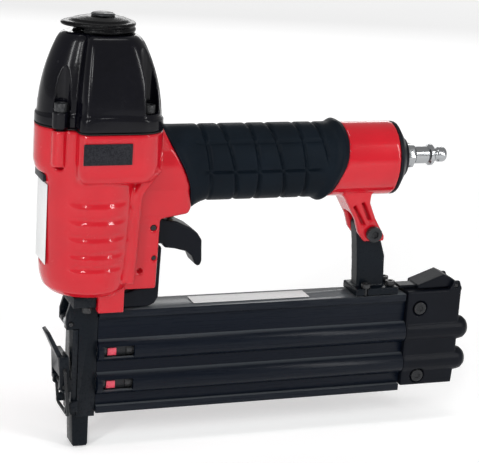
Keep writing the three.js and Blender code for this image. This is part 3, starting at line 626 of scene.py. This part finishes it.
GAP = 0.3
BAND_TOP = SEAM + 6.3
BAND_ARC, BAND_STEP, BAND_EDGE = 1.3, 1.0, 0.4
DRAWN_IN, DRAWN_POWER = 0.36, 2.2
CROWN = 5.0
BAY, BAY_MOUTH, BOSS = 4.9, 5.7, 4.3
CAVITY = span("head_valve_piston")[1].x + GAP
CAVITY_SHOULDER, CAVITY_TOP, SPRING_ROOM = 197, 213, 15.5
PORT_X, PORT, SCREW_SHAFT = -8, 3.6, 3.1
deflector_low, deflector_high = span("exhaust_deflector")
DEFLECTOR_X = middle("deflector_screw")[0]


def cap_scale(z):
    """How much the cap's plan has shrunk at a height, with a rounded crown."""
    t = (z - SEAM) / (CAP_TOP - SEAM)
    rounding = max(0.0, z - (CAP_TOP - CROWN)) / CROWN
    crowned = 1 - 0.1 * (1 - math.sqrt(max(0.0, 1 - rounding**2)))
    return (1 - DRAWN_IN * t**DRAWN_POWER) * crowned


def bow(angle):
    """How far a side panel falls back from flat towards its ends, so that it shines in one soft band."""
    if abs(math.sin(angle)) <= 0.5:
        return 0.0
    along = (MIDDLE_X + 6 - 30 * math.cos(angle)) / 24
    return 1.3 * min(1.0, along**2) * smoothstep(-0.54, -0.44, math.cos(angle))


def cylinder_cap():
    """A dome drawn in towards its top, with a raised band round its foot and a bay over each bolt."""
    rings = []
    steps = 70
    for i in range(steps + 1):
        z = SEAM + (CAP_TOP - SEAM) * i / steps
        scale = cap_scale(z)
        ring = []
        for angle, reach in zip(HEAD_ANGLES, HEAD_REACH):
            band_top = BAND_TOP + BAND_ARC * math.cos(2 * angle + math.pi)
            inset = BAND_STEP * smoothstep(band_top - BAND_EDGE, band_top + BAND_EDGE, z)
            inset += bow(angle) * smoothstep(SEAM, SEAM + 12, z)
            x = (reach - inset) * math.cos(angle) * scale
            y = (reach - inset) * math.sin(angle) * scale
            ring.append(at(x + MIDDLE_X * (1 - scale), y, z))
        rings.append(ring)
    dome = loft("cap_dome", rings)
    for x, y in BOLTS:
        cut(
            dome,
            rod("bay", BAY, x, y, BOLT_SEAT, TALL, 64),
            rod("bay_mouth", BAY_MOUTH, x * 1.1, y * 1.25, BOLT_SEAT, TALL, 64),
        )
    for x, y in BOLTS:
        join(dome, rod("boss", BOSS, x, y, SEAM, BOLT_SEAT))
    cut(
        dome,
        rod("cavity", CAVITY, 0, 0, SEAM - 2, CAVITY_SHOULDER, 96),
        rod("spring_room", SPRING_ROOM, 0, 0, SEAM - 2, CAVITY_TOP, 96),
        rod("shaft", SCREW_SHAFT, DEFLECTOR_X, 0, CAVITY_TOP - 3, TALL),
        rod("port", PORT, PORT_X, 0, CAVITY_TOP - 3, TALL),
        *[rod("hole", BOLT_HOLE, x, y, SEAM - 2, TALL, 24) for x, y in BOLTS],
    )
    cast(dome, 0.5, 3)
    place(dome, "housing", "black_paint", "cylinder_cap", smooth=None)


cylinder_cap()

# ---------------------------------------------------------------- deflector


def deflector():
    """A low cover with a thick round rim, drawn out into a spout at the front, over a round collar."""
    base, top = deflector_low.z, deflector_high.z
    rim, lip = deflector_high.x - DEFLECTOR_X, 1.2
    reach = DEFLECTOR_X - deflector_low.x
    profile = [(0, base + 2.6), (rim - 2, base + 2.6)]
    for i in range(9):
        angle = -math.pi / 2 + math.pi * i / 8
        profile.append((rim - lip + lip * math.cos(angle), base + 3.9 + lip * math.sin(angle)))
    profile += [(rim - 2.6, base + 5.2), (13, base + 6.2)]
    profile += [(9.5, top - 0.35), (7.6, top), (0, top)]
    cover = turned("deflector_cover", profile, (DEFLECTOR_X, 0, 0), sides=160)
    for vertex in cover.data.vertices:
        ahead = (DEFLECTOR_X - (vertex.co.x - AXIS_X) / MM) / rim
        if ahead > 0:
            vertex.co.x -= (reach - rim) * ahead**2 * MM
            vertex.co.y *= 1 - 0.12 * ahead
    collar_profile = [(0, base), (16.4, base), (17, base + 0.6), (17.1, base + 1.5)]
    collar_profile += [(16.6, base + 2.4), (15, base + 3), (0, base + 3)]
    join(cover, turned("collar", collar_profile, (DEFLECTOR_X, 0, 0), sides=128))
    cut(
        cover,
        block("outlet", -40, -6 + DEFLECTOR_X, -11, 11, base - 1, base + 2.4),
        rod("shaft", 3.3, DEFLECTOR_X, 0, base - 1, TALL),
    )
    cast(cover, 0.32, 2)
    place(cover, "deflector", "gloss_black_plastic", "exhaust_deflector", smooth=None)


deflector()

# ---------------------------------------------------------------- housing

BARREL_FLOOR = span("nose_guide")[1].z + GAP
BORE = span("bumper")[1].x + 0.4
BARREL = BORE + 4.8
SHOULDER_LOW, SHOULDER_HIGH = 149.5, 160.5
handle_low, handle_high = span("end_cap")
HANDLE_Z = middle("end_cap")[2]
HANDLE_HALF_Y, HANDLE_HALF_Z = 18.0, 20.5
grip_low, grip_high = span("grip_sleeve")
CHAMBER = 11
WIDE = 30  # past both sides, for cutters
GROOVE_TOP, GROOVE_BOTTOM = 141.5, 106.4
GROOVE_PITCH = (GROOVE_TOP - GROOVE_BOTTOM) / 4.2 * 1.1
GROOVE_HEIGHTS = [GROOVE_TOP - GROOVE_PITCH * n for n in range(4)] + [GROOVE_BOTTOM]
GROOVE_FROM, GROOVE_TO = 233, 304
GROOVE_RADIUS, GROOVE_OUT = 2.3, 1.35
# The two edges of the rubber, from its top to its bottom, as x and z.
NECK_EDGE = [(35, 178.4), (40.5, 168.6), (46.2, 157.6), (51.2, 146.8), (53, 134.5)]
END_EDGE = [(139.5, 182), (140.5, 169), (139.2, 158), (135.8, 149.5), (131.5, 134)]
# The rib behind the barrel, one on each side, from its foot up, as x, y and z.
RIDGE = [(18.6, 18.6, 96), (19.6, 17.8, 110), (20.6, 17.6, 130)]
RIDGE += [(21.6, 18, 144), (25.5, 20.5, 152), (30, 23, 160)]
RIDGE_RADIUS = 3.0
# Two slanting slots in each side of the bracket, as top x and z, then bottom x and z.
BRACKET_POCKETS = [(149.4, 131.4, 156, 119.6), (154.4, 133.4, 159.6, 122)]
POCKET_HALF, POCKET_FLOOR = 1.1, 5.2
FACE_LIMIT = 190000


def barrel_radius(z):
    """The barrel's radius at a height, with its steps smoothed."""
    heights = [BARREL_FLOOR + rise for rise in (0, 1.2, 4.5, 10, 16, 50)]
    radii = [14, 19.5, 23, 24.6, 25.2, BARREL]
    samples = [np.interp(z + d, heights, radii) for d in (-1.2, -0.6, 0, 0.6, 1.2)]
    return sum(samples) / len(samples)


def barrel_skin():
    """The barrel and the head in one flowing wall, hollow for the cylinder."""
    top = SEAM - 1.1
    bottom = BARREL_FLOOR + 4.5
    outer, steps = [], 100
    for i in range(steps + 1):
        z = bottom + (top - bottom) * i / steps
        share = smoothstep(SHOULDER_LOW, SHOULDER_HIGH, z)
        narrow = barrel_radius(z)
        ring = []
        for angle, reach in zip(HEAD_ANGLES, HEAD_REACH):
            own = narrow + (max(reach, narrow) - narrow) * share
            ring.append(at(own * math.cos(angle), own * math.sin(angle), z))
        outer.append(ring)
    skin = loft("barrel_skin", outer)
    return cut(skin, rod("bore", BORE, 0, 0, bottom - 2, top + 2, 128))


def side_slab(name, outline, y0, y1):
    """An outline in x and z, given thickness in y."""
    return loft(name, [[at(x, y, z) for x, z in outline] for y in (y0, y1)])


def ellipse_bar(name, half_y, half_z, z, x0, x1, sides=160):
    """A bar along X with an oval section."""
    rings = []
    for x in (x0, x1):
        angles = [2 * math.pi * i / sides for i in range(sides)]
        rings.append([at(x, half_y * math.cos(a), z + half_z * math.sin(a)) for a in angles])
    return loft(name, rings)


def curve_x(edge, z):
    """Where one of the grip's edges is at a height, on a smooth curve through its points."""
    heights = [p[1] for p in edge][::-1]
    places = [p[0] for p in edge][::-1]
    samples = [np.interp(z + d, heights, places) for d in (-3, -1.5, 0, 1.5, 3)]
    return sum(samples) / len(samples)


def edge_line(edge, offset, low, high, steps=24):
    """One of the grip's edges as points from low to high."""
    heights = [low + (high - low) * i / steps for i in range(steps + 1)]
    return [(curve_x(edge, z) + offset, z) for z in heights]


def tube(name, points, radius, sides=20):
    """A round bar through points, in millimetres, with its own radius at each."""
    centres = [Vector(p) for p in points]
    rings = []
    for i, centre in enumerate(centres):
        along = (centres[min(i + 1, len(centres) - 1)] - centres[max(i - 1, 0)]).normalized()
        across = along.orthogonal().normalized()
        if abs(along.z) > 0.5:
            across = (Vector((1, 0, 0)) - along * along.x).normalized()
        other = along.cross(across)
        size = radius[i] if isinstance(radius, (list, tuple)) else radius
        ring = []
        for j in range(sides):
            angle = 2 * math.pi * j / sides
            out = across * math.cos(angle) + other * math.sin(angle)
            ring.append(at(*(centre + out * size)))
        rings.append(ring)
    return loft(name, rings)


def eased(points, steps=8):
    """A Catmull-Rom curve through points."""
    ends = [points[0]] + list(points) + [points[-1]]
    path = []
    for i in range(1, len(ends) - 2):
        a, b, c, d = (Vector(ends[i + k]) for k in (-1, 0, 1, 2))
        for j in range(steps):
            t = j / steps
            bend = (2 * a - 5 * b + 4 * c - d) * t**2
            twist = (3 * b - a - 3 * c + d) * t**3
            path.append(0.5 * (2 * b + (c - a) * t + bend + twist))
    path.append(Vector(points[-1]))
    return path


def groove(z, side):
    """A long lens of metal, to be taken out of one side of the barrel."""
    radius = barrel_radius(z) + GROOVE_OUT
    start, end = math.radians(GROOVE_FROM), math.radians(GROOVE_TO)
    points, sizes, steps = [], [], 20
    for i in range(steps + 1):
        t = i / steps
        angle = start + (end - start) * t
        points.append((radius * math.cos(angle), side * radius * -math.sin(angle), z))
        sizes.append(GROOVE_RADIUS * min(1.0, 0.72 + 2.2 * min(t, 1 - t)))
    return tube("groove", points, sizes)


def neck_and_end():
    """The oval bodies of the housing on both sides of the rubber."""
    neck = ellipse_bar("neck", 16.4, 21.6, 155.2, 22, 54)
    front = [(20, 178), (20, 129), (48, 129), (52.9, 131.4)]
    line = edge_line(NECK_EDGE, 0, 134.5, 178)
    keep(neck, side_slab("neck_side", front + line, -WIDE, WIDE))
    end_back = handle_low.x + 12 - GAP
    end = ellipse_bar("end", HANDLE_HALF_Y, HANDLE_HALF_Z, HANDLE_Z, 120, end_back)
    edge = edge_line(END_EDGE, GAP, 134, 182)
    keep(end, side_slab("end_side", edge + [(200, 182), (200, 134)], -WIDE, WIDE))
    return neck, end


def bores():
    """The air chamber in the handle, and the bore of the trigger valve."""
    profile = [(0, 27), (CHAMBER, 27), (CHAMBER, 200), (0, 200)]
    valve_low, valve_high = span("trigger_valve_body")
    stem_low, stem_high = span("trigger_valve_stem")
    x = (valve_low.x + valve_high.x) / 2
    valve, stem = valve_high.y + 0.8, stem_high.y + 1.2
    return (
        turned("chamber", profile, (0, 0, HANDLE_Z), "X", 64),
        rod("valve_bore", valve, x, 0, valve_low.z - 0.5, valve_high.z + 0.5, 64),
        rod("stem_bore", stem, x, 0, stem_low.z - 1, valve_high.z, 48),
    )


def cut_label_flat(body):
    """A flat for the barrel label, and a recess with a black strip above it."""
    low, high = span("front_label")
    cut(
        body,
        block("label_flat", -60, high.x + GAP, low.y - 1, high.y + 1, low.z - 1, high.z + 1),
    )
    inner, lower = high.x - 0.7, high.z + 1.2
    cut(body, block("recess", -60, inner, -9.3, 9.3, lower - GAP, lower + 4 + GAP))
    strip = block("recess_strip", inner - 1.6, inner + 0.1, -8.8, 8.8, lower, lower + 4)
    settle(bevelled(strip, 0.3))
    place(strip, "housing", "black_plastic", smooth=30)


def cut_pockets(body):
    """The slots in both sides of the bracket, cut after the casting, so that they stay crisp."""
    half = POCKET_HALF
    for x0, z0, x1, z1 in BRACKET_POCKETS:
        top, low = z0 - 0.6, z1 + 0.6
        outline = [(x0 - half, top), (x0 + half, top), (x1 + half, low), (x1 - half, low)]
        cut(
            body,
            side_slab("pocket_near", outline, -WIDE, -POCKET_FLOOR),
            side_slab("pocket_far", outline, POCKET_FLOOR, WIDE),
        )


def housing():
    """The painted casting: the CAD shape with flowing skins joined on, recut, then softened."""
    body = cad_copy("housing", "housing_casting")
    join(body, barrel_skin())
    join(body, *neck_and_end())
    path = eased(RIDGE)
    for side in (-1, 1):
        points = [(p.x, side * p.y, p.z) for p in path]
        join(body, tube("ridge", points, RIDGE_RADIUS))
    cut(body, *bores())
    cut_label_flat(body)
    for z in GROOVE_HEIGHTS:
        for side in (-1, 1):
            cut(body, groove(z, side))
    cut(body, *[rod("hole", BOLT_HOLE, x, y, 158, TALL, 24) for x, y in BOLTS])
    cast(body, 0.8, 4)
    cut_pockets(body)
    faces = sum(len(f.vertices) - 2 for f in body.data.polygons)
    thin(body, min(1.0, FACE_LIMIT / faces))
    place(body, "housing", "red_paint", "housing", smooth=None)


housing()

# ---------------------------------------------------------------- grip


GRIP_GROOVES, GROOVE_SLANT, GROOVE_DEPTH = 6, 0.22, 1.5


def hump(value, peak, width):
    """1 at the peak, falling softly to 0 on both sides."""
    return math.exp(-(((value - peak) / width) ** 2))


def between(x, start, full, fading, end):
    """1 from full to fading, and 0 before start and after end."""
    return smoothstep(start, full, x) * (1 - smoothstep(fading, end, x))


def relief(x, z, front, back):
    """How far the rubber stands out of its plain oval.

    Slanting grooves and two long ones part it into pads, and a bead runs along each end.
    """
    slanting = 0.0
    for number in range(GRIP_GROOVES):
        slant = GROOVE_SLANT * (1 if number % 2 else 0.5)
        line = 61 + number * 13.6 - slant * (z - HANDLE_Z)
        slanting = max(slanting, hump(x, line, 0.95))
    slanting *= between(x, front + 8, front + 13, back - 13, back - 9)
    waist = hump(z, HANDLE_Z - 1.5, 0.8) * between(x, front + 6, front + 12, back - 16, back - 10)
    crown = hump(z, HANDLE_Z + 13.5, 0.9) * between(x, front + 12, front + 16, back - 16, back - 10)
    bead = 1.9 * hump(back - x, 3.6, 2.6)
    hem = 0.5 * hump(x - front, 1.6, 2.0)
    return bead + hem - GROOVE_DEPTH * max(slanting, waist, 0.7 * crown)


def grip():
    """The rubber sleeve: an oval outside with its relief, and a plain oval lining."""
    low, high = grip_low.z, grip_high.z
    core_y, core_z = 14.4, 16.4
    around, along = 220, 190
    outer, inner = [], []
    for i in range(along + 1):
        s = i / along
        ring, lining = [], []
        for j in range(around):
            angle = 2 * math.pi * j / around
            z0 = HANDLE_Z + HANDLE_HALF_Z * math.sin(angle)
            front, back = curve_x(NECK_EDGE, z0) + 0.35, curve_x(END_EDGE, z0)
            x = front + (back - front) * s
            skirt = 1 - smoothstep(52, 63, x)
            belly = math.sin(math.pi * min(1.0, max(0.0, (x - 55) / 80))) * 0.5
            half_y = HANDLE_HALF_Y + 0.2 - 1.0 * skirt + belly
            half_z = HANDLE_HALF_Z + 0.1 + (4.2 * skirt if math.sin(angle) < 0 else 0.2)
            out = relief(x, z0, front, back)
            y = (half_y + out) * math.cos(angle)
            z = HANDLE_Z + (half_z + out) * math.sin(angle)
            z = min(max(z, low + 0.05), high)
            ring.append(at(x, y, z))
            lining.append(at(x, core_y * math.cos(angle), HANDLE_Z + core_z * math.sin(angle)))
        outer.append(ring)
        inner.append(lining)
    sleeve = hoop("rubber_grip", outer + inner[::-1])
    place(sleeve, "housing", "grip_rubber", "grip_sleeve", smooth=50)


grip()

# ---------------------------------------------------------------- castings with broken edges


def softened_copy(node, name, body, voxel, rounds):
    """A CAD node's shape with its edges rounded all over, in the finish of its slot."""
    piece = cad_copy(node, name)
    cast(piece, voxel, rounds)
    place(piece, body, SLOT_OF[node], node, smooth=None)


softened_copy("tail_cover", "tail_casting", "magazine", 0.42, 3)
softened_copy("trigger", "trigger_lever", "trigger", 0.4, 6)
softened_copy("latch_lever", "latch_wedge", "latch", 0.35, 3)
softened_copy("magazine_strut", "strut_plate", "housing", 0.6, 3)
softened_copy("rear_guard", "guard_plate", "housing", 0.5, 4)

# ---------------------------------------------------------------- air plug

PLUG_Z = middle("air_plug")[2]


def air_plug():
    """A quick-connect nipple: hexagon, barrel, locking ring, neck and tip, bored through."""
    tip = span("air_plug")[1].x
    start = handle_high.x + 0.3
    profile = [
        (2.4, start - 12), (4.2, start - 12), (4.2, start + 5.8), (4.9, start + 6.4), (4.9, tip - 11.6),
        (4.6, tip - 11.2), (5.5, tip - 10.6), (6.0, tip - 10.0), (6.0, tip - 8.6), (5.4, tip - 7.9),
        (3.9, tip - 7.3), (3.6, tip - 6.6), (3.6, tip - 5.4), (3.8, tip - 5.0), (4.2, tip - 4.4),
        (4.25, tip - 1.6), (4.0, tip - 0.7), (3.5, tip - 0.1), (3.1, tip),
        (2.6, tip - 0.3), (2.4, tip - 0.9),
    ]
    sides, rings = 96, []
    for radius, x in profile:
        ring = []
        for j in range(sides):
            angle = 2 * math.pi * j / sides
            ring.append(at(x, radius * math.cos(angle), PLUG_Z + radius * math.sin(angle)))
        rings.append(ring)
    nipple = hoop("air_nipple", rings)
    end = start + 5.5
    flats = [(0, start), (6.6, start), (7.2, start + 0.6), (7.2, end - 0.6), (6.6, end), (0, end)]
    hexagon = turned("hexagon", flats, (0, 0, PLUG_Z), "X", 6)
    settle(bevelled(hexagon, 0.25))
    bore = [(0, start - 1), (3.4, start - 1), (3.4, start + 8), (0, start + 8)]
    cut(hexagon, turned("bore", bore, (0, 0, PLUG_Z), "X", 48))
    join(nipple, hexagon)
    place(nipple, "housing", "chrome", "air_plug", smooth=28)


air_plug()

# ---------------------------------------------------------------- springs


def coil(name, start, end, radius, wire, turns, axis):
    """An open coil from one point to another along X or Z, spaced a little wider at its ends."""
    steps, sides = 26 * turns, 10
    along = Vector((1, 0, 0)) if axis == "X" else Vector((0, 0, 1))
    rings = []
    for i in range(steps + 1):
        t = i / steps
        spot = start + (end - start) * (t + 0.012 * math.sin(2 * math.pi * t))
        angle = 2 * math.pi * turns * t
        across, up = math.cos(angle), math.sin(angle)
        out = Vector((0, across, up) if axis == "X" else (across, up, 0))
        ring = []
        for j in range(sides):
            turn = 2 * math.pi * j / sides
            offset = out * (radius + wire * math.cos(turn)) + along * (wire * math.sin(turn))
            ring.append(at(*(spot + offset)))
        rings.append(ring)
    return loft(name, rings)


def spring(node, name, body, wire, turns, axis):
    """A coil between its free end and its fixed end, at the back or the top."""
    low, high = span(node)
    x, y, z = middle(node)
    if axis == "X":
        direction, length, width = (1, 0, 0), high.x - low.x, high.z - low.z
        free, fixed = Vector((low.x, y, z)), Vector((high.x, y, z))
    else:
        direction, length, width = (0, 0, 1), high.z - low.z, high.x - low.x
        free, fixed = Vector((x, y, low.z)), Vector((x, y, high.z))
    inset = Vector(direction) * wire
    piece = coil(name, free + inset, fixed - inset, width / 2 - wire, wire, turns, axis)
    place(piece, body, "steel", node, smooth=50)
    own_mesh(piece)


for level in ("upper", "lower"):
    spring(
        f"{level}_pusher_spring", f"{level}_coil", "magazine",
        wire=0.45, turns=22, axis="X",
    )
spring(
    "head_valve_spring", "head_valve_coil", "housing",
    wire=1.0, turns=4, axis="Z",
)
spring(
    "trigger_valve_spring", "trigger_valve_coil", "housing",
    wire=0.4, turns=4, axis="Z",
)

# ---------------------------------------------------------------- carried-over CAD nodes

SOFTENED = 0.25
CREASE = 32
FLAT_WITHIN = 1.5
# Nodes that take another finish than the one of their slot.
SHADED = {
    "upper_guide_rod": "dark_steel",
    "lower_guide_rod": "dark_steel",
    "pusher": "dark_steel",
    "latch_bail": "dark_steel",
    "badge": "black_plastic",
}


def carry_over():
    """Every CAD node that no piece replaces gets its finish and softly broken edges."""
    for name, node in NODES.items():
        if node.hide_render:
            continue
        slot = SHADED.get(name, SLOT_OF[name])
        node.data.materials.clear()
        node.data.materials.append(FINISHES[slot])
        weld = node.modifiers.new("weld", "WELD")
        weld.merge_threshold = SAME_POINT
        flat = node.modifiers.new("flat", "DECIMATE")
        flat.decimate_type = "DISSOLVE"
        flat.angle_limit = math.radians(FLAT_WITHIN)
        bevelled(node, SOFTENED, angle=CREASE)
        for face in node.data.polygons:
            face.use_smooth = True
        node.data.set_sharp_from_angle(angle=math.radians(CREASE))


carry_over()
